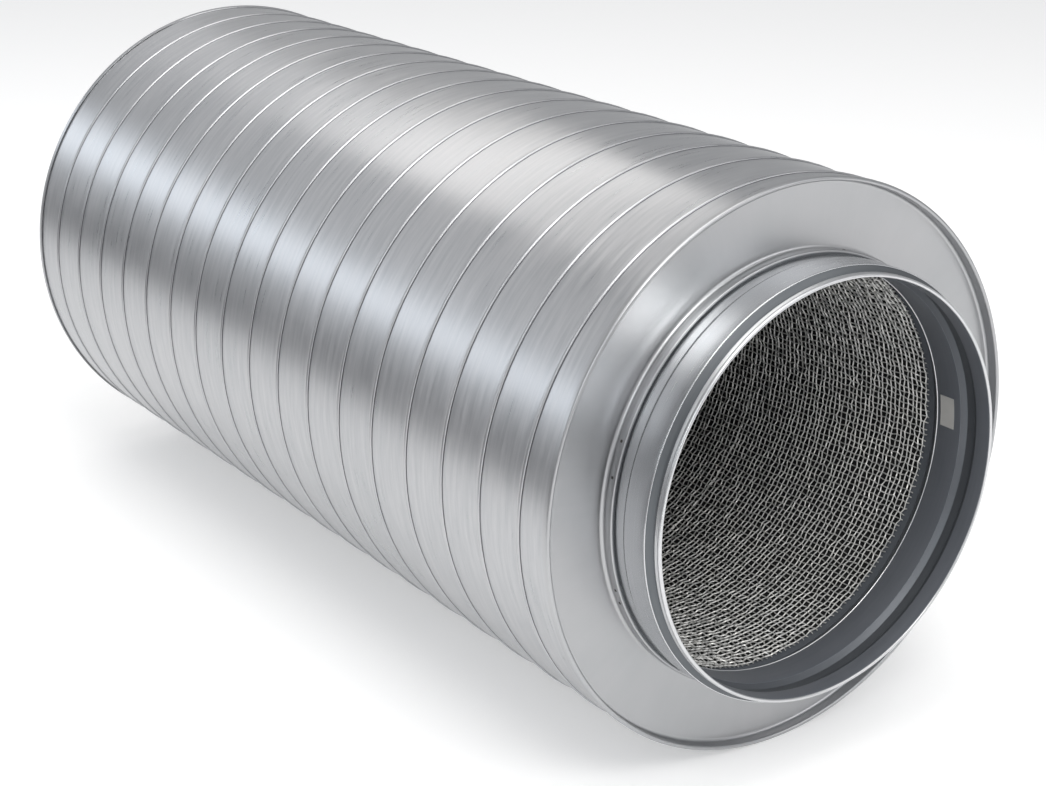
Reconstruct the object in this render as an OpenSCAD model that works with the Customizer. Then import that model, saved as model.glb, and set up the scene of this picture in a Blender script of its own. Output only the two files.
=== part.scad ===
// Round duct sound attenuator: a spiral-wound casing, two dished end caps with push-in spigots,
// and a mesh-lined absorber round a straight air path.
// Millimetres. The axis is X with the origin at its middle. The front end is +X and +Z is up.
// Angles round the axis start at the top and turn towards -Y.

/* [Spigots] */
// Inside diameter of the duct that slips over a spigot
duct_d = 315; // [250:5:355]
// Gap between a spigot's seat and the duct, all round
duct_gap = 0.6; // [0.3:0.1:1]
// How far a spigot reaches past the casing's rim
spigot_reach = 45; // [42:1:70]
// Width of the straight seat the duct slides on
seat_w = 21; // [14:1:24]
// Sheet of a spigot
spigot_t = 1; // [0.7:0.1:1.2]
// Depth of the groove behind the lip
groove_depth = 5.8; // [4:0.2:8]
// Width of the groove's floor
groove_w = 2; // [1:0.5:3]
// Length of the slope from the seat down to the groove
groove_slope = 3; // [2:0.5:4]
// Width of the rolled lip
lip_w = 5.5; // [4:0.5:7]
// Height of the rolled lip over the groove's floor
lip_h = 1.8; // [1.2:0.1:3]
// Height of the seat over the root
root_step = 1.5; // [0.8:0.1:2.5]
// Length of the slope from the root up to the seat
root_slope = 2.5; // [1.5:0.5:4]
// How far the root and the sleeve run in past the casing's rim
spigot_tail = 6.5; // [4:0.5:8]
// Width of the flat band inside the lip
mouth_w = 13.5; // [11:0.5:14]
// Width of the channel in the sleeve
channel_w = 15; // [12:0.5:15]
// Depth of the channel
channel_depth = 3; // [1.5:0.1:3]
// Length of each slope of the channel
channel_slope = 4; // [2:0.5:4.5]

/* [Casing] */
// Outside diameter of the casing
casing_d = 415; // [400:5:520]
// Length of the casing from rim to rim
casing_length = 810; // [500:10:1200]
// Sheet of the casing
casing_t = 0.7; // [0.6:0.1:1.2]
// Flats round the casing
casing_sides = 96; // [72:12:120]
// Distance from one turn of the lock seam to the next
seam_pitch = 46; // [40:1:80]
// Width of the lock seam at its foot
seam_w = 3.6; // [2.5:0.1:6]
// Height of the lock seam
seam_h = 1.2; // [0.8:0.1:1.4]
// Distance of the last turn behind the front rim, at the seam's mark
seam_offset = 30; // [0:1:46]
// Angle of the seam's mark
seam_mark = 60; // [0:1:359]

/* [End caps] */
// Sheet of an end cap
cap_t = 1; // [0.7:0.1:1.5]
// Depth of the flat face below the rim
dish_depth = 9; // [8:0.5:14]
// Inside radius between the face and the flange
dish_fillet = 2.5; // [1:0.5:4]
// Width of the rolled rim on the casing
hem_w = 5; // [4:0.5:9]
// Gap between the rim or flange and the casing
hem_gap = 0.3; // [0.1:0.1:0.5]
// How far the neck rises past the casing's rim
neck_rise = 1.6; // [0.5:0.1:4]
// Width of the folded bead on the neck
bead_h = 7.3; // [4:0.1:7.5]
// Height of the folded bead
bead_t = 1.2; // [0.6:0.1:2]
// Radius at the foot of the neck
neck_fillet = 3; // [1:0.5:3]
// Diameter of a weld spot in the bead
spot_d = 1.8; // [1:0.1:3]
// Depth of a weld spot
spot_depth = 0.5; // [0.2:0.1:0.9]
// Angles of the weld spots
spot_angles = [-15, 69, 78, 108, 112, 150, 186, 195, 231, 282];

/* [Liner and absorber] */
// Sheet of a liner ring
ring_t = 1; // [0.6:0.1:1.5]
// Length of a liner ring
ring_length = 32; // [24:1:60]
// How far the mesh stops short of the casing's rim
liner_setback = 13.5; // [10:0.5:20]
// Thickness of the mesh
liner_t = 1.5; // [1:0.1:2.5]
// Height of the mesh's hoop ridges
ridge_h = 0.6; // [0.2:0.1:0.9]
// Distance from one hoop ridge to the next
ridge_pitch = 27; // [20:1:60]
// Rows of gaps at each end of the mesh
gap_rows = 3; // [1:1:3]
// Gaps in a row
gap_count = 20; // [8:1:20]
// Length of a gap along the axis
gap_l = 9; // [4:1:14]
// Width of a gap round the axis
gap_w = 30; // [6:1:36]
// Thickness of the fleece over the mesh
fleece_t = 1; // [0.5:0.1:1.2]
// Gap on each side of the fleece
fleece_gap = 0.2; // [0.1:0.1:0.4]
// Gap between the wool and the casing
wool_gap = 0.3; // [0.1:0.1:1]

/* [Label] */
// Length of the blank label along the axis
label_l = 13; // [8:1:13]
// Width of the label round the axis
label_w = 24; // [10:1:40]
// Thickness of the label
label_t = 0.3; // [0.1:0.1:0.5]
// Distance of the label from the channel
label_set = 6.5; // [1:0.5:8]
// Angle of the label's middle
label_angle = -85; // [-180:1:180]

/* [Hidden] */
$fn = 180;

// Spigot radii, and stations counted outwards from the rim plane
seat_r = duct_d / 2 - duct_gap;
root_r = seat_r - root_step;
groove_r = seat_r - groove_depth;
lip_r = groove_r + lip_h;
mouth_r = groove_r - spigot_t;
lip_roll = (lip_r - mouth_r) / 2;
u_lip = spigot_reach - lip_w;
u_groove = u_lip - groove_w;
u_seat_top = u_groove - groove_slope;
u_seat_low = u_seat_top - seat_w;
u_root = u_seat_low - root_slope;
groove_bend = spigot_t * tan(atan2(groove_depth, groove_slope) / 2);
root_bend = spigot_t * tan(atan2(root_step, root_slope) / 2);
channel_bend = spigot_t * tan(atan2(channel_depth, channel_slope) / 2);
u_join = u_groove - groove_bend - groove_slope * spigot_t / groove_depth;
u_channel_top = spigot_reach - mouth_w;
u_channel_low = u_channel_top - channel_w;
sleeve_r = mouth_r + spigot_t;

// Casing and cap radii
casing_r = casing_d / 2;
casing_in = casing_r * cos(180 / casing_sides) - casing_t;
hem_in = casing_r + hem_gap;
hem_out = hem_in + cap_t;
flange_out = casing_in - hem_gap;
flange_in = flange_out - cap_t;
roll_r = (hem_out - flange_in) / 2;
casing_half = casing_length / 2 - roll_r;
neck_in = root_r + ring_t;
neck_out = neck_in + cap_t;
bead_out = neck_out + bead_t;
bead_low = neck_rise - bead_h;
bead_roll = (bead_out - neck_in) / 2;

// Lock seam: steps in a turn, the ends of its run, and the angle it starts from
seam_steps = 12 * ceil(casing_d / 105);
seam_end = casing_length / 2 - hem_w - hem_gap - seam_w / 2;
seam_count = floor(2 * seam_end / seam_pitch * seam_steps);
seam_angle = 180 + seam_mark + (casing_length / 2 - seam_offset + seam_end) / seam_pitch * 360;
seam_foot = 0.2 * casing_t;

// Liner and absorber
fleece_r = root_r - fleece_gap;
liner_r = fleece_r - fleece_t - fleece_gap;
liner_in = liner_r - liner_t;
liner_half = casing_length / 2 - liner_setback;
ridge_n = floor((liner_half - 10) / ridge_pitch);
wool_half = casing_length / 2 - dish_depth - cap_t;

// Points of an arc from one angle to another
function arc(centre, radius, from, to, n = 8) = [for (i = [0:n])
  let (a = from + (to - from) * i / n) centre + radius * [cos(a), sin(a)]];

// Lays the modelling axis along X
module along_x() {
  rotate([0, 90, 0]) children();
}

// Sets a shape, drawn from its rim plane outwards, at the front or the rear end
module front() {
  translate([0, 0, casing_length / 2]) children();
}

module rear() {
  mirror([0, 0, 1]) front() children();
}

// A plain tube about the axis, centred on the origin
module tube(inner, outer, half) {
  rotate_extrude() translate([inner, -half]) square([outer - inner, 2 * half]);
}

// Raised lock seam, a left-hand helix from the rear rim to the front one
module lock_seam() {
  shape = [[-seam_w / 2, -seam_foot], [-seam_w / 4, seam_h], [seam_w / 4, seam_h], [seam_w / 2, -seam_foot]];
  points = [for (i = [0:seam_count])
    let (a = seam_angle - 360 * i / seam_steps, z = seam_pitch * i / seam_steps - seam_end)
      for (q = shape) [(casing_r + q[1]) * cos(a), (casing_r + q[1]) * sin(a), z + q[0]]];
  sides = [for (i = [0:seam_count - 1]) for (j = [0:3])
    let (p = 4 * i + j, q = 4 * i + (j + 1) % 4) each [[p, p + 4, q + 4], [p, q + 4, q]]];
  last = 4 * seam_count;
  polyhedron(points, concat(sides, [[0, 1, 2, 3], [last + 3, last + 2, last + 1, last]]), convexity = 10);
}

// Bar of flats about the axis, centred on the origin; the radius is to its corners
module flats(radius, half) {
  turn = 360 / casing_sides;
  translate([0, 0, -half]) linear_extrude(2 * half)
    polygon([for (i = [0:casing_sides - 1]) radius * [cos(i * turn), sin(i * turn)]]);
}

// Spiral-wound tube with its lock seam
module outer_casing() {
  color("Silver") along_x() {
    difference() {
      flats(casing_r, casing_half);
      flats(casing_in / cos(180 / casing_sides), casing_half + 1);
    }
    lock_seam();
  }
}

// Dished cap: rolled rim, flange, flat face, and a neck with a folded bead
module end_cap() {
  dish = [flange_in - dish_fillet, dish_fillet - dish_depth];
  foot = [neck_out + neck_fillet, neck_fillet - dish_depth];
  difference() {
    rotate_extrude() polygon(concat(
      [[hem_out, -hem_w]],
      arc([(hem_out + flange_in) / 2, -roll_r], roll_r, 0, 180),
      arc(dish, dish_fillet, 0, -90),
      arc(foot, neck_fillet, 270, 180),
      [[neck_out, bead_low], [bead_out, bead_low]],
      arc([(bead_out + neck_in) / 2, neck_rise - bead_roll], bead_roll, 0, 180),
      arc(foot, neck_fillet + cap_t, 180, 270),
      arc(dish, dish_fillet + cap_t, -90, 0),
      [[flange_out, -roll_r], [hem_in, -roll_r], [hem_in, -hem_w]]));
    for (a = spot_angles) rotate([0, 0, 180 + a])
      translate([bead_out - spot_depth, 0, (bead_low + neck_rise) / 2])
      rotate([0, 90, 0]) cylinder(d = spot_d, h = 4, $fn = 24);
  }
}

module front_end_cap() {
  color("LightGray") along_x() front() end_cap();
}

module rear_end_cap() {
  color("LightGray") along_x() rear() end_cap();
}

// Push-in spigot: root, straight seat, groove and rolled lip, with a sleeve inside that has a channel
module spigot() {
  rotate_extrude() polygon(concat(
    [[root_r, -spigot_tail], [root_r, u_root], [seat_r, u_seat_low], [seat_r, u_seat_top],
      [groove_r, u_groove], [groove_r, u_lip], [lip_r, u_lip]],
    arc([(lip_r + mouth_r) / 2, spigot_reach - lip_roll], lip_roll, 0, 180),
    [[mouth_r, u_channel_top], [mouth_r + channel_depth, u_channel_top - channel_slope],
      [mouth_r + channel_depth, u_channel_low + channel_slope], [mouth_r, u_channel_low],
      [mouth_r, -spigot_tail], [sleeve_r, -spigot_tail], [sleeve_r, u_channel_low - channel_bend],
      [sleeve_r + channel_depth, u_channel_low + channel_slope - channel_bend],
      [sleeve_r + channel_depth, u_channel_top - channel_slope + channel_bend],
      [sleeve_r, u_channel_top + channel_bend], [sleeve_r, u_join],
      [seat_r - spigot_t, u_seat_top - groove_bend], [seat_r - spigot_t, u_seat_low + root_bend],
      [root_r - spigot_t, u_root + root_bend], [root_r - spigot_t, -spigot_tail]]));
}

module front_spigot() {
  color("Gainsboro") along_x() front() spigot();
}

module rear_spigot() {
  color("Gainsboro") along_x() rear() spigot();
}

// Ring between the neck and the spigot's root, which carries the fleece and the mesh
module liner_ring() {
  rotate_extrude() translate([root_r, -ring_length]) square([ring_t, ring_length]);
}

module front_liner_ring() {
  color("DarkGray") along_x() front() liner_ring();
}

module rear_liner_ring() {
  color("DarkGray") along_x() rear() liner_ring();
}

// Mesh tube: a thin wall with hoop ridges, and rows of gaps at both ends
module mesh_liner() {
  color("Silver") along_x() difference() {
    rotate_extrude() polygon(concat(
      [[liner_r, liner_half], [liner_r, -liner_half], [liner_in, -liner_half]],
      [for (i = [-ridge_n:ridge_n]) each [[liner_in, i * ridge_pitch - 1.5],
        [liner_in - ridge_h, i * ridge_pitch], [liner_in, i * ridge_pitch + 1.5]]],
      [[liner_in, liner_half]]));
    for (s = [-1, 1]) for (j = [0:gap_rows - 1]) for (k = [0:gap_count - 1])
      rotate([0, 0, (k + (j % 2) / 2) * 360 / gap_count])
        translate([liner_in, 0, s * (ridge_n - j - 0.5) * ridge_pitch])
          cube([4 * liner_t, gap_w, gap_l], center = true);
  }
}

// Black fleece wrapped over the mesh
module acoustic_fleece() {
  color("DimGray") along_x() tube(fleece_r - fleece_t, fleece_r, liner_half);
}

// Absorber that fills the casing
module mineral_wool() {
  wool_out = casing_in - wool_gap;
  ring_end = casing_length / 2 - ring_length;
  color("DarkKhaki") along_x() rotate_extrude() polygon([[wool_out, -wool_half], [wool_out, wool_half],
    [root_r + ring_t, wool_half], [root_r + ring_t, ring_end], [root_r, ring_end],
    [root_r, -ring_end], [root_r + ring_t, -ring_end], [root_r + ring_t, -wool_half]]);
}

// Blank label inside the front spigot
module label() {
  turn = label_w / mouth_r * 180 / PI;
  color("WhiteSmoke") along_x() front() rotate([0, 0, 180 + label_angle - turn / 2])
    rotate_extrude(angle = turn) translate([mouth_r - label_t, u_channel_low - label_set - label_l]) square([label_t, label_l]);
}

outer_casing();
front_end_cap();
rear_end_cap();
front_spigot();
rear_spigot();
front_liner_ring();
rear_liner_ring();
mesh_liner();
acoustic_fleece();
mineral_wool();
label();
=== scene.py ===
import math
import bpy
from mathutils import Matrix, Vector


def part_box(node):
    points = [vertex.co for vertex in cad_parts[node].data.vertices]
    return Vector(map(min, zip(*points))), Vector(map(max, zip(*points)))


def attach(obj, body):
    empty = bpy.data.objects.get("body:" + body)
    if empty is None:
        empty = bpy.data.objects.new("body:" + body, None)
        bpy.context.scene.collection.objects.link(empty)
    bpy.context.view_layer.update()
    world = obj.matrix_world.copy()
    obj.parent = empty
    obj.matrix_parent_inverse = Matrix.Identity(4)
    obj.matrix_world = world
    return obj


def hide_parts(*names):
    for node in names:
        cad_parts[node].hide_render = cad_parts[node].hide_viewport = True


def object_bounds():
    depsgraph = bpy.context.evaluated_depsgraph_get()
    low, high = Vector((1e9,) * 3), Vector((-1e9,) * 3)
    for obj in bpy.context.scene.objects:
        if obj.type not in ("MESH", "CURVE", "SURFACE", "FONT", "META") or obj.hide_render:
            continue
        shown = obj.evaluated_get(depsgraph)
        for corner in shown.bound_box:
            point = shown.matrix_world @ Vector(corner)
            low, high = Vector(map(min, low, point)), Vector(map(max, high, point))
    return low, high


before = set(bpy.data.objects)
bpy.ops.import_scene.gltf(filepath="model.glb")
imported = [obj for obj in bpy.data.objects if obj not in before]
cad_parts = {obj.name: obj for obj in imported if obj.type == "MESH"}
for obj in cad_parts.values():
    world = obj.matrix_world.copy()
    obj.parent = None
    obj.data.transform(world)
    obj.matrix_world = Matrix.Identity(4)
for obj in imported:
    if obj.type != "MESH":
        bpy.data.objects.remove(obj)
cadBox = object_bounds()
mm = 0.001
ends = (("front", 1), ("rear", -1))
print("frame loaded")

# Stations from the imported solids
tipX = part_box("front_spigot")[1][0]
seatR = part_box("front_spigot")[1][2]
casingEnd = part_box("outer_casing")[1][0]
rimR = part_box("front_end_cap")[1][2]
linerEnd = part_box("mesh_liner")[1][0]
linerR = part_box("mesh_liner")[1][2]
floorZ = cadBox[0][2]


# Modelling helpers

def drawLine(name, points):
    # one vertex, extruded from point to point
    bpy.ops.object.select_all(action="DESELECT")
    bpy.ops.mesh.primitive_plane_add(size=mm)
    piece = bpy.context.active_object
    piece.name = name
    piece.data.name = name
    bpy.ops.object.mode_set(mode="EDIT")
    bpy.ops.mesh.select_all(action="SELECT")
    bpy.ops.mesh.merge(type="CENTER")
    bpy.ops.transform.translate(value=points[0])
    for start, end in zip(points, points[1:]):
        bpy.ops.mesh.extrude_vertices_move(TRANSFORM_OT_translate={"value": end - start})
    return piece


def closeUp():
    # joins the ends of a spun or wound sheet, with its faces outwards
    bpy.ops.mesh.select_all(action="SELECT")
    bpy.ops.mesh.remove_doubles(threshold=0.01 * mm)
    bpy.ops.mesh.normals_make_consistent(inside=False)


def spinRound(steps):
    bpy.ops.mesh.select_all(action="SELECT")
    bpy.ops.mesh.spin(steps=steps, angle=2 * math.pi, center=(0, 0, 0), axis=(1, 0, 0))
    closeUp()


def trimEnds(reach, fill):
    # cuts off what lies past the reach, at both ends of the axis
    for side in (1, -1):
        bpy.ops.mesh.select_all(action="SELECT")
        bpy.ops.mesh.bisect(plane_co=(side * reach, 0, 0), plane_no=(side, 0, 0), use_fill=fill, clear_outer=True)


def applyModifier(piece, kind, **values):
    modifier = piece.modifiers.new(kind.lower(), kind)
    for key, value in values.items():
        setattr(modifier, key, value)
    bpy.ops.object.modifier_apply(modifier=modifier.name)


def coatPiece(piece, material):
    piece.data.materials.clear()
    piece.data.materials.append(material)


def finishPiece(piece, material, nodes=(), sharpAngle=35):
    if bpy.context.mode != "OBJECT":
        bpy.ops.object.mode_set(mode="OBJECT")
    bpy.ops.object.shade_smooth_by_angle(angle=math.radians(sharpAngle))
    coatPiece(piece, material)
    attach(piece, "root")
    if nodes:
        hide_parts(*nodes)


def arcPoints(centre, radius, start, stop, count=6):
    turns = [math.radians(start + (stop - start) * i / count) for i in range(count + 1)]
    return [(centre[0] + radius * math.cos(t), centre[1] + radius * math.sin(t)) for t in turns]


def softBends(outline, radius, count=3, edgeShare=0.4):
    # rounds every corner of a closed outline, up to a share of the edges beside it
    soft = []
    for i, corner in enumerate(outline):
        here = Vector(corner)
        before = Vector(outline[i - 1]) - here
        after = Vector(outline[(i + 1) % len(outline)]) - here
        start = here + before.normalized() * min(radius, edgeShare * before.length)
        end = here + after.normalized() * min(radius, edgeShare * after.length)
        for k in range(count + 1):
            t = k / count
            soft.append((1 - t) ** 2 * start + 2 * t * (1 - t) * here + t * t * end)
    return soft


# Finishes
noiseSet = {"from": 0.3, "to": 0.7, "streakDetail": 5, "streakRoughness": 0.65, "cloudDetail": 3, "grainDetail": 4,
            "bumpDepth": 0.2}
colourMix = {"factor": 0, "under": 6, "over": 7, "result": 2}


def newMaterial(name):
    material = bpy.data.materials.new(name)
    material.use_nodes = True
    return material, material.node_tree, material.node_tree.nodes["Principled BSDF"]


def feedInputs(tree, node, feeds):
    # a feed is a socket to link or a constant to set
    for key, feed in feeds.items():
        if isinstance(feed, bpy.types.NodeSocket):
            tree.links.new(feed, node.inputs[key])
        else:
            node.inputs[key].default_value = feed


def addNode(tree, kind, feeds, **settings):
    node = tree.nodes.new("ShaderNode" + kind)
    for key, value in settings.items():
        setattr(node, key, value)
    feedInputs(tree, node, feeds)
    return node


def mathOutput(tree, operation, *feeds):
    return addNode(tree, "Math", dict(enumerate(feeds)), operation=operation).outputs[0]


def objectPlace(tree):
    return addNode(tree, "TexCoord", {}).outputs["Object"]


def splitPlace(tree, place):
    return addNode(tree, "SeparateXYZ", {0: place}).outputs


def turnRound(tree, split):
    # angle round the duct's axis
    return mathOutput(tree, "ARCTAN2", split["Y"], split["Z"])


def colourByNoise(tree, shader, noise, look):
    ramp = addNode(tree, "ValToRGB", {0: noise})
    dark, light = ramp.color_ramp.elements
    dark.position = noiseSet["from"]
    dark.color = (*look["dark"], 1)
    light.position = noiseSet["to"]
    light.color = (*look["light"], 1)
    tree.links.new(ramp.outputs[0], shader.inputs["Base Color"])


def galvanisedSheet(name, look):
    material, tree, shader = newMaterial(name)
    place = objectPlace(tree)
    split = splitPlace(tree, place)
    # streaks run round the axis: quick along X, slow with the turn
    unrolled = addNode(tree, "CombineXYZ", {"X": split["X"], "Y": turnRound(tree, split)}).outputs[0]
    stretch = (look["streaksPerMetre"], look["streakTurns"], 1)
    stretched = addNode(tree, "VectorMath", {0: unrolled, 1: stretch}, operation="MULTIPLY").outputs[0]
    streak = addNode(tree, "TexNoise", {
        "Vector": stretched, "Scale": 1, "Detail": noiseSet["streakDetail"],
        "Roughness": noiseSet["streakRoughness"]}).outputs["Fac"]
    cloud = addNode(tree, "TexNoise", {
        "Vector": place, "Scale": look["cloudScale"], "Detail": noiseSet["cloudDetail"]}).outputs["Fac"]
    mottle = addNode(tree, "Mix", {
        "Factor": look["cloudShare"], "A": streak, "B": cloud}, data_type="FLOAT").outputs["Result"]
    colourByNoise(tree, shader, mottle, look)
    gloss = addNode(tree, "MapRange", {
        "Value": mottle, "From Min": noiseSet["from"], "From Max": noiseSet["to"],
        "To Min": look["roughness"][0], "To Max": look["roughness"][1]})
    bump = addNode(tree, "Bump", {
        "Strength": look["bump"], "Distance": noiseSet["bumpDepth"] * mm, "Height": streak})
    feedInputs(tree, shader, {
        "Roughness": gloss.outputs[0], "Normal": bump.outputs[0], "Metallic": look["metallic"]})
    return material


def plainFinish(name, look):
    material, tree, shader = newMaterial(name)
    grain = addNode(tree, "TexNoise", {
        "Vector": objectPlace(tree), "Scale": look["grain"], "Detail": noiseSet["grainDetail"]})
    colourByNoise(tree, shader, grain.outputs["Fac"], look)
    feedInputs(tree, shader, {"Roughness": look["roughness"], "Metallic": look["metallic"]})
    return material


def tintWhere(material, mask, colour):
    # lays a colour over the finish where the mask is 1
    tree = material.node_tree
    base = tree.nodes["Principled BSDF"].inputs["Base Color"]
    tint = addNode(tree, "Mix", {
        colourMix["factor"]: mask, colourMix["under"]: base.links[0].from_socket,
        colourMix["over"]: (*colour, 1)}, data_type="RGBA")
    tree.links.new(tint.outputs[colourMix["result"]], base)


def shadeCrease(material, top, form):
    # painted shade in the crease beside the lock seam, placed by the winding of the strip
    tree = material.node_tree
    split = splitPlace(tree, objectPlace(tree))
    along = mathOutput(tree, "MULTIPLY_ADD", split["X"], 1 / (form["pitch"] * mm), 0.5 - top / form["pitch"])
    wound = mathOutput(tree, "MULTIPLY_ADD", turnRound(tree, split), -1 / (2 * math.pi), along)
    phase = mathOutput(tree, "FRACT", wound)
    crease = mathOutput(tree, "COMPARE", phase, 0.5 + form["creaseAt"] / form["pitch"],
                        form["creaseHalf"] / form["pitch"])
    tintWhere(material, crease, form["creaseShadeColour"])


def greyEnds(material, start, colour):
    # grey strip round both ends, where the ring shows past the fleece
    tree = material.node_tree
    reach = mathOutput(tree, "ABSOLUTE", splitPlace(tree, objectPlace(tree))["X"])
    tintWhere(material, mathOutput(tree, "GREATER_THAN", reach, start), colour)


casingFinish = galvanisedSheet("galvanised casing", {
    "dark": (0.38, 0.39, 0.405), "light": (0.54, 0.54, 0.55), "roughness": (0.25, 0.36), "bump": 0.006,
    "metallic": 1, "streaksPerMetre": 240, "streakTurns": 3.6, "cloudScale": 5, "cloudShare": 0.3})
capFinish = galvanisedSheet("galvanised cap", {
    "dark": (0.39, 0.4, 0.41), "light": (0.49, 0.49, 0.5), "roughness": (0.27, 0.38), "bump": 0.04,
    "metallic": 1, "streaksPerMetre": 500, "streakTurns": 2.5, "cloudScale": 9, "cloudShare": 0.6})
spigotFinish = galvanisedSheet("galvanised spigot", {
    "dark": (0.58, 0.59, 0.61), "light": (0.7, 0.71, 0.72), "roughness": (0.2, 0.3), "bump": 0.04,
    "metallic": 1, "streaksPerMetre": 900, "streakTurns": 2.4, "cloudScale": 8, "cloudShare": 0.4})
lipFinish = galvanisedSheet("rolled lip", {
    "dark": (0.6, 0.61, 0.62), "light": (0.68, 0.68, 0.69), "roughness": (0.26, 0.32), "bump": 0.01,
    "metallic": 1, "streaksPerMetre": 500, "streakTurns": 2.4, "cloudScale": 8, "cloudShare": 0.5})
# painted shade: the groove's galvanised sheet is painted dark for the shade in the recess behind the lip, and is
# also a little rougher
grooveWithPaintedShade = galvanisedSheet("groove with painted shade", {
    "dark": (0.12, 0.13, 0.14), "light": (0.17, 0.18, 0.19), "roughness": (0.36, 0.46), "bump": 0.02,
    "metallic": 1, "streaksPerMetre": 900, "streakTurns": 2.4, "cloudScale": 8, "cloudShare": 0.4})
sleeveFinish = galvanisedSheet("slate sleeve", {
    "dark": (0.19, 0.205, 0.235), "light": (0.25, 0.265, 0.295), "roughness": (0.38, 0.48), "bump": 0.01,
    "metallic": 0.55, "streaksPerMetre": 260, "streakTurns": 1.2, "cloudScale": 6, "cloudShare": 0.6})
# painted shade: the channel is painted darker than the rest of the sleeve for the shade in its recess, and is also
# a little rougher
channelWithPaintedShade = galvanisedSheet("channel with painted shade", {
    "dark": (0.11, 0.12, 0.135), "light": (0.15, 0.16, 0.175), "roughness": (0.4, 0.5), "bump": 0.01,
    "metallic": 0.55, "streaksPerMetre": 260, "streakTurns": 1.2, "cloudScale": 6, "cloudShare": 0.6})
ringFinish = galvanisedSheet("dull liner ring", {
    "dark": (0.14, 0.15, 0.16), "light": (0.2, 0.21, 0.22), "roughness": (0.4, 0.5), "bump": 0.02,
    "metallic": 0.6, "streaksPerMetre": 700, "streakTurns": 2, "cloudScale": 10, "cloudShare": 0.4})
meshFinish = plainFinish("galvanised wire", {
    "dark": (0.5, 0.5, 0.49), "light": (0.84, 0.83, 0.8), "roughness": 0.38, "metallic": 0.4, "grain": 140})
fleeceFinish = plainFinish("black fleece", {
    "dark": (0.004, 0.004, 0.004), "light": (0.012, 0.012, 0.012), "roughness": 0.95, "metallic": 0, "grain": 300})
woolFinish = plainFinish("mineral wool", {
    "dark": (0.3, 0.26, 0.12), "light": (0.5, 0.45, 0.24), "roughness": 0.95, "metallic": 0, "grain": 120})
labelFinish = plainFinish("blank paper label", {
    "dark": (0.48, 0.47, 0.45), "light": (0.54, 0.53, 0.51), "roughness": 0.75, "metallic": 0, "grain": 60})
spotFinish = plainFinish("burnt weld spot", {
    "dark": (0.02, 0.018, 0.016), "light": (0.06, 0.055, 0.05), "roughness": 0.7, "metallic": 0.2, "grain": 900})
print("finishes ready")


# Spigots, in millimetres: radius, and distance out from the rim plane
spigotForm = {"reach": 45, "sheet": 1, "seatWidth": 21, "rootStep": 1.5, "rootSlope": 2.5, "tail": 6.5,
              "bendShift": 0.3, "bend": 0.9, "sharp": 50}
grooveForm = {"depth": 5.8, "width": 2, "slope": 3, "wall": 0.6, "tuck": 0.3, "lap": 0.2, "bend": 0.4}
lipForm = {"width": 5.5, "height": 1.8, "lines": (1.3, 2.5), "lineHalf": 0.25, "lineDepth": 0.25, "lining": 0.2,
           "curl": 150, "bend": 0.2}
sleeveForm = {"mouthBand": 13.5, "channelWidth": 15, "channelDepth": 3, "channelSlope": 4, "burr": 0.5,
              "wall": 0.7, "bend": 0.3}
rimX = tipX - spigotForm["reach"] * mm
seatRadius = seatR / mm
rootRadius = seatRadius - spigotForm["rootStep"]
grooveRadius = seatRadius - grooveForm["depth"]
mouthRadius = grooveRadius - spigotForm["sheet"]
lipStart = spigotForm["reach"] - lipForm["width"]
grooveStart = lipStart - grooveForm["width"]
seatTop = grooveStart - grooveForm["slope"]
tailEnd = -spigotForm["tail"]


def lathePiece(name, outline, side, steps=192):
    points = [Vector((side * (rimX + u * mm), 0, r * mm)) for r, u in outline]
    piece = drawLine(name, points + points[:1])
    spinRound(steps)
    return piece


def shellOutline():
    # root and straight seat
    seatLow = seatTop - spigotForm["seatWidth"]
    rootTop = seatLow - spigotForm["rootSlope"]
    seatIn = seatRadius - spigotForm["sheet"]
    rootIn = rootRadius - spigotForm["sheet"]
    shift = spigotForm["bendShift"]
    return [(rootRadius, tailEnd), (rootRadius, rootTop), (seatRadius, seatLow), (seatRadius, seatTop),
            (seatIn, seatTop), (seatIn, seatLow + shift), (rootIn, rootTop + shift), (rootIn, tailEnd)]


def grooveOutline():
    # from under the seat's edge to the groove's floor, and on under the lip
    wall = grooveForm["wall"]
    tuckRadius = seatRadius - grooveForm["tuck"]
    tuckTop = seatTop - grooveForm["lap"]
    under = lipStart + grooveForm["lap"]
    return [(tuckRadius, tuckTop), (grooveRadius, grooveStart), (grooveRadius, under),
            (grooveRadius - wall, under), (grooveRadius - wall, grooveStart - wall),
            (tuckRadius - wall, tuckTop - wall)]


def lipOutline():
    # rolled lip, with fine lines where its layers meet
    lip = grooveRadius + lipForm["height"]
    roll = (lip - mouthRadius) / 2
    half = lipForm["lineHalf"]
    outline = [(mouthRadius + lipForm["lining"], lipStart), (lip, lipStart)]
    for line in lipForm["lines"]:
        middle = lipStart + line
        outline += [(lip, middle - half), (lip - lipForm["lineDepth"], middle), (lip, middle + half)]
    rollCentre = (mouthRadius + roll, spigotForm["reach"] - roll)
    return outline + arcPoints(rollCentre, roll, 0, lipForm["curl"], count=8)


def sleeveBands():
    # inner wall: the band at the mouth, the channel, the band at the root and the cut edge
    floorRadius = mouthRadius + sleeveForm["channelDepth"]
    tip = spigotForm["reach"] - spigotForm["sheet"]
    top = spigotForm["reach"] - sleeveForm["mouthBand"]
    low = top - sleeveForm["channelWidth"]
    slope = sleeveForm["channelSlope"]
    cut = tailEnd + sleeveForm["burr"]
    return (("Mouth", sleeveFinish, [(mouthRadius, tip), (mouthRadius, top)]),
            ("Channel", channelWithPaintedShade, [(mouthRadius, top), (floorRadius, top - slope),
                                        (floorRadius, low + slope), (mouthRadius, low)]),
            ("Sleeve", sleeveFinish, [(mouthRadius, low), (mouthRadius, cut)]),
            ("CutEdge", lipFinish, [(mouthRadius, cut), (mouthRadius - sleeveForm["burr"], tailEnd)]))


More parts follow.
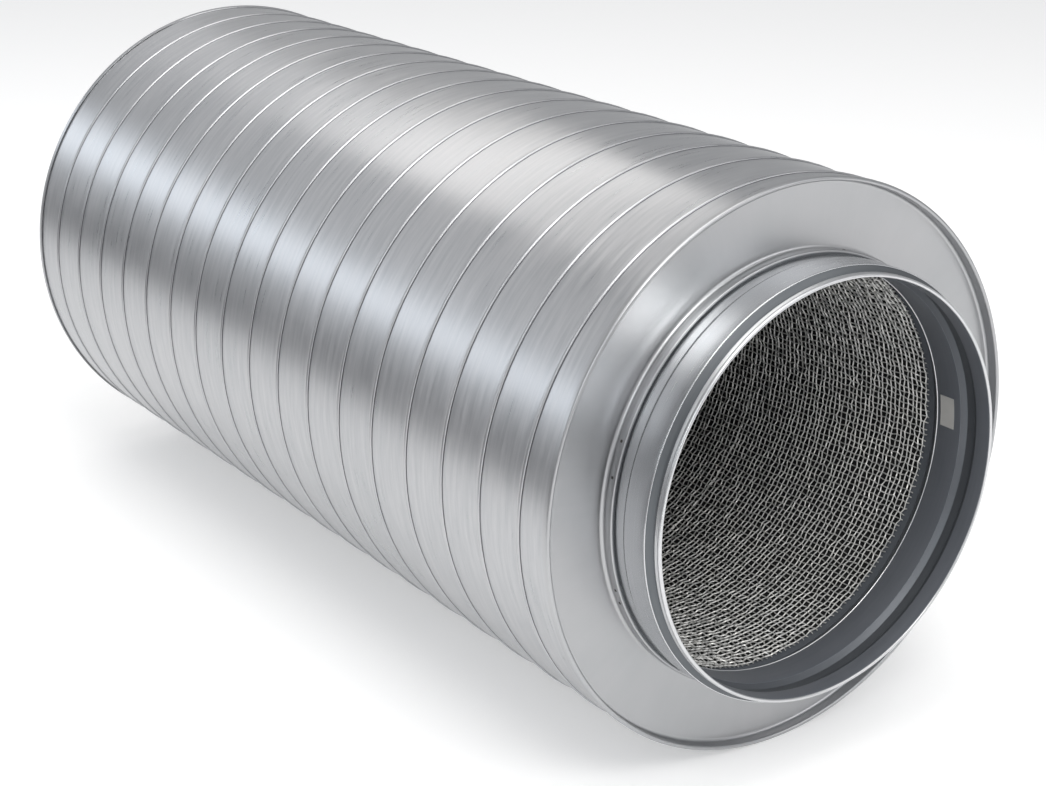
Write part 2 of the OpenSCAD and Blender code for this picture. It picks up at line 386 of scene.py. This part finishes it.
layers = [("Spigot", spigotFinish, softBends(shellOutline(), spigotForm["bend"])),
          ("Groove", grooveWithPaintedShade, softBends(grooveOutline(), grooveForm["bend"])),
          ("Lip", lipFinish, softBends(lipOutline(), lipForm["bend"], count=2))]
for band, finish, inner in sleeveBands():
    outer = [(r + sleeveForm["wall"], u) for r, u in reversed(inner)]
    layers.append((band, finish, softBends(inner + outer, sleeveForm["bend"])))
for end, side in ends:
    for layer, finish, outline in layers:
        spigot = lathePiece(end + layer, outline, side)
        finishPiece(spigot, finish, [end + "_spigot"], spigotForm["sharp"])
print("spigots spun")

# End caps, measured like the spigots, with weld spots on the bead
capForm = {"sheet": 1, "dish": 9, "dishFillet": 2.5, "hem": 5, "hemGap": 0.3, "neckRise": 1.6, "neckFillet": 3,
           "beadWidth": 7.3, "beadHeight": 1.2, "beadCorner": 0.3, "ring": 1, "casingSheet": 0.81, "sharp": 50}
spotForm = {"turns": (-15, 69, 78, 108, 112, 150, 186, 195, 231, 282), "radius": 1.1, "depth": 0.5, "sides": 16,
            "sink": 0.1, "bevel": 0.12}
capRim = rimR / mm
neckIn = rootRadius + capForm["ring"]
neckOut = neckIn + capForm["sheet"]
beadOut = neckOut + capForm["beadHeight"]


def capOutline(form):
    # over the rim, down the dish, along the face and up the neck, then back on the inside
    sheet = form["sheet"]
    hemIn = capRim - sheet
    flangeIn = hemIn - 2 * form["hemGap"] - form["casingSheet"] - sheet
    roll = (capRim - flangeIn) / 2
    dish = (flangeIn - form["dishFillet"], form["dishFillet"] - form["dish"])
    foot = (neckOut + form["neckFillet"], form["neckFillet"] - form["dish"])
    beadRoll = (beadOut - neckIn) / 2
    beadLow = form["neckRise"] - form["beadWidth"]
    corner = form["beadCorner"]
    outline = [(capRim, -form["hem"])]
    outline += arcPoints(((capRim + flangeIn) / 2, -roll), roll, 0, 180, count=10)
    outline += arcPoints(dish, form["dishFillet"], 0, -90)
    outline += arcPoints(foot, form["neckFillet"], 270, 180)
    outline += [(neckOut, beadLow), (beadOut - corner, beadLow), (beadOut, beadLow + corner)]
    outline += arcPoints(((beadOut + neckIn) / 2, form["neckRise"] - beadRoll), beadRoll, 0, 180, count=8)
    outline += arcPoints(foot, form["neckFillet"] + sheet, 180, 270)
    outline += arcPoints(dish, form["dishFillet"] + sheet, -90, 0)
    outline += [(flangeIn + sheet, -roll), (hemIn, -roll), (hemIn, -form["hem"])]
    return outline


def weldSpot(name, turn, side):
    # a small disc with soft edges, sunk in the bead
    phi = math.radians(turn)
    outward = Vector((0, -math.sin(phi), math.cos(phi)))
    middle = capForm["neckRise"] - capForm["beadWidth"] / 2
    place = outward * (beadOut - spotForm["sink"]) * mm + Vector((side * (rimX + middle * mm), 0, 0))
    bpy.ops.object.select_all(action="DESELECT")
    bpy.ops.mesh.primitive_cylinder_add(vertices=spotForm["sides"], radius=spotForm["radius"] * mm,
                                        depth=spotForm["depth"] * mm, location=place,
                                        rotation=outward.to_track_quat("Z", "X").to_euler())
    spot = bpy.context.active_object
    spot.name = name
    bpy.ops.object.transform_apply(location=True, rotation=True, scale=True)
    bpy.ops.object.mode_set(mode="EDIT")
    bpy.ops.mesh.select_all(action="SELECT")
    bpy.ops.mesh.bevel(offset=spotForm["bevel"] * mm, segments=2)
    return spot


for end, side in ends:
    cap = lathePiece(end + "Cap", capOutline(capForm), side)
    finishPiece(cap, capFinish, [end + "_end_cap"], capForm["sharp"])
    for k, turn in enumerate(spotForm["turns"]):
        spot = weldSpot(f"{end}Spot{k}", turn, side)
        finishPiece(spot, spotFinish)
print("caps spun")

# Casing: one pitch of the strip, wound into a left-hand helix; the seam is distance along and height
# the crease values place a thin dark line of painted shade beside each seam
casingForm = {"pitch": 46, "sheet": 0.7, "seamBack": 30, "seamMark": 60, "steps": 120, "hemGap": 0.3, "sharp": 60,
              "creaseAt": 1.9, "creaseHalf": 0.48, "creaseShadeColour": (0.13, 0.13, 0.14),
              "seam": ((-4.0, 0), (-2.5, 0), (-2.2, 0.03), (-1.95, 0.25), (-1.65, 0.66), (-1.2, 0.98),
                       (-0.6, 1.1), (0.2, 1.1), (0.75, 0.98), (1.15, 0.66), (1.4, 0.2), (1.6, -0.16),
                       (1.9, -0.32), (2.15, -0.2), (2.4, 0), (2.9, 0), (4.0, 0))}
pitch = casingForm["pitch"]
casingRadius = capRim - capForm["sheet"] - casingForm["hemGap"]
seamTop = rimX / mm - casingForm["seamBack"] + pitch * casingForm["seamMark"] / 360 + pitch
turnsNeeded = math.ceil((seamTop + rimX / mm) / pitch) + 1
strip = [(-pitch / 2, 0), (-pitch / 4, 0), *casingForm["seam"], (pitch / 4, 0), (pitch / 2, 0)]
section = [Vector(((seamTop + x) * mm, 0, (casingRadius + h) * mm)) for x, h in strip]
casing = drawLine("spiralCasing", section)
bpy.ops.object.mode_set(mode="OBJECT")
applyModifier(casing, "SCREW", axis="X", angle=2 * math.pi, screw_offset=-pitch * mm, iterations=turnsNeeded,
              steps=casingForm["steps"], render_steps=casingForm["steps"])
bpy.ops.object.mode_set(mode="EDIT")
closeUp()
trimEnds(casingEnd, fill=False)
bpy.ops.mesh.select_all(action="SELECT")
bpy.ops.mesh.normals_make_consistent(inside=False)
bpy.ops.object.mode_set(mode="OBJECT")
applyModifier(casing, "SOLIDIFY", thickness=casingForm["sheet"] * mm, offset=-1)
# paints shade into the crease beside each seam
shadeCrease(casingFinish, seamTop, casingForm)
finishPiece(casing, casingFinish, ["outer_casing"], casingForm["sharp"])
print("casing wound")

# Mesh liner: woven cells in sections, with a cut edge at each end
meshForm = {"cell": 4.5, "wire": 1.4, "wander": 1.15, "evenness": 0.3, "firstSeed": 3, "sections": 4, "wall": 1.4,
            "spare": 0.5, "edgeBack": 4, "sharp": 60}
meshRadius = linerR - meshForm["wall"] * mm
meshEnd = linerEnd - meshForm["edgeBack"] * mm
cell = meshForm["cell"] * mm
cellsRound = round(2 * math.pi * meshRadius / cell)
sectionLength = 2 * (linerEnd + meshForm["spare"] * meshForm["cell"] * mm) / meshForm["sections"]
rowsEach = round(sectionLength / cell)
for k in range(meshForm["sections"]):
    start = (k - meshForm["sections"] / 2) * sectionLength
    rows = [Vector((start + sectionLength * i / rowsEach, 0, meshRadius)) for i in range(rowsEach + 1)]
    weave = drawLine(f"wireMesh{k}", rows)
    spinRound(cellsRound)
    bpy.ops.mesh.select_all(action="SELECT")
    bpy.ops.transform.vertex_random(offset=meshForm["wander"] * mm, uniform=meshForm["evenness"], normal=0,
                                    seed=k + meshForm["firstSeed"])
    bpy.ops.object.mode_set(mode="OBJECT")
    applyModifier(weave, "WIREFRAME", thickness=meshForm["wire"] * mm, use_even_offset=False, use_boundary=True)
    bpy.ops.object.mode_set(mode="EDIT")
    trimEnds(meshEnd, fill=True)
    finishPiece(weave, meshFinish, ["mesh_liner"], meshForm["sharp"])
print("mesh woven,", cellsRound, "cells round")

# CAD nodes that keep their shape
fleeceForm = {"greyWidth": 8, "greyColour": (0.1, 0.11, 0.125)}
greyEnds(fleeceFinish, linerEnd - fleeceForm["greyWidth"] * mm, fleeceForm["greyColour"])
for name, material in (("front_liner_ring", ringFinish), ("rear_liner_ring", ringFinish),
                       ("acoustic_fleece", fleeceFinish), ("mineral_wool", woolFinish), ("label", labelFinish)):
    coatPiece(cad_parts[name], material)
print("nodes finished")

# Floor and light; each lamp has a name, place, target, width, height, power and colour
studio = {"floor": 14, "floorColour": 0.76, "floorRoughness": 0.9, "floorShine": 0.1, "floorLift": 0.34,
          "world": (0.5, 0.505, 0.515),
          "lamps": (("overhead", (0.2, -0.3, 2.5), (0.1, 0, 0), 2.6, 2.6, 40, (1, 0.99, 0.97)),
                    ("windowStrip", (-2.0, -1.9, 0.75), (0, -0.1, 0.05), 3.4, 0.45, 9, (0.88, 0.94, 1)),
                    ("midPanel", (-2.2, -0.7, 1.5), (0, 0, 0.1), 3.2, 0.8, 2.6, (0.97, 0.98, 1)),
                    ("warmStrip", (-1.4, 0.27, 1.36), (0.2, 0, 0.19), 1.2, 0.25, 2.6, (1, 0.97, 0.93)),
                    ("frontFill", (2.4, 1.2, 1.4), (0.4, 0, 0), 1.6, 1.2, 10, (1, 1, 1)),
                    ("mouthFill", (1.9, -0.5, 1.8), (0.4, 0.05, -0.1), 1.0, 1.0, 16, (1, 0.99, 0.97)),
                    ("sideFill", (1.6, -1.6, 1.0), (0.4, 0.1, 0), 0.7, 0.9, 6, (0.95, 0.98, 1)))}

bpy.ops.object.select_all(action="DESELECT")
bpy.ops.mesh.primitive_plane_add(size=studio["floor"], location=(0, 0, floorZ))
floor = bpy.context.active_object
floor.name = "floor"
floorFinish, tree, shader = newMaterial("white floor")
# a little lift keeps the floor white where the camera or the metal sees it
path = addNode(tree, "LightPath", {})
seen = mathOutput(tree, "MAXIMUM", path.outputs["Is Camera Ray"], path.outputs["Is Glossy Ray"])
feedInputs(tree, shader, {
    "Base Color": (studio["floorColour"],) * 3 + (1,), "Roughness": studio["floorRoughness"],
    "Specular IOR Level": studio["floorShine"], "Emission Color": (1, 1, 1, 1),
    "Emission Strength": mathOutput(tree, "MULTIPLY", seen, studio["floorLift"])})
coatPiece(floor, floorFinish)

# A dark card that stands on the floor, seen only by the metal
cardForm = {"length": 3.2, "height": 0.26, "x": -0.7, "y": -0.82, "colour": (0.38, 0.38, 0.39)}
bpy.ops.object.select_all(action="DESELECT")
bpy.ops.mesh.primitive_plane_add(size=1, location=(cardForm["x"], cardForm["y"], floorZ + cardForm["height"] / 2),
                                 rotation=(math.pi / 2, 0, 0))
card = bpy.context.active_object
card.name = "darkCard"
card.scale = (cardForm["length"], cardForm["height"], 1)
bpy.ops.object.transform_apply(location=True, rotation=True, scale=True)
cardFinish, tree, shader = newMaterial("dark card")
feedInputs(tree, shader, {"Base Color": (*cardForm["colour"], 1), "Roughness": 1})
coatPiece(card, cardFinish)
card.visible_camera = False
card.visible_diffuse = False
card.visible_shadow = False

world = bpy.data.worlds.new("studio")
bpy.context.scene.world = world
world.use_nodes = True
world.node_tree.nodes["Background"].inputs["Color"].default_value = (*studio["world"], 1)
for name, place, target, width, height, power, colour in studio["lamps"]:
    bpy.ops.object.light_add(type="AREA", location=place)
    lamp = bpy.context.active_object
    lamp.name = name
    lamp.rotation_euler = (Vector(target) - Vector(place)).to_track_quat("-Z", "Y").to_euler()
    lamp.data.shape = "RECTANGLE"
    lamp.data.size = width
    lamp.data.size_y = height
    lamp.data.energy = power
    lamp.data.color = colour
print("studio lit")

# Camera at the photograph's angle
cameraSet = {"place": (1.3752, -0.9158, 0.5497), "look": (-0.7645, 0.5424, -0.3483), "lens": 71.0, "sensor": 36}
bpy.ops.object.camera_add(location=cameraSet["place"])
camera = bpy.context.active_object
camera.rotation_euler = Vector(cameraSet["look"]).to_track_quat("-Z", "Y").to_euler()
camera.data.sensor_width = cameraSet["sensor"]
camera.data.lens = cameraSet["lens"]
bpy.context.scene.camera = camera
bpy.context.scene.view_settings.view_transform = "Standard"

print("scene ready")
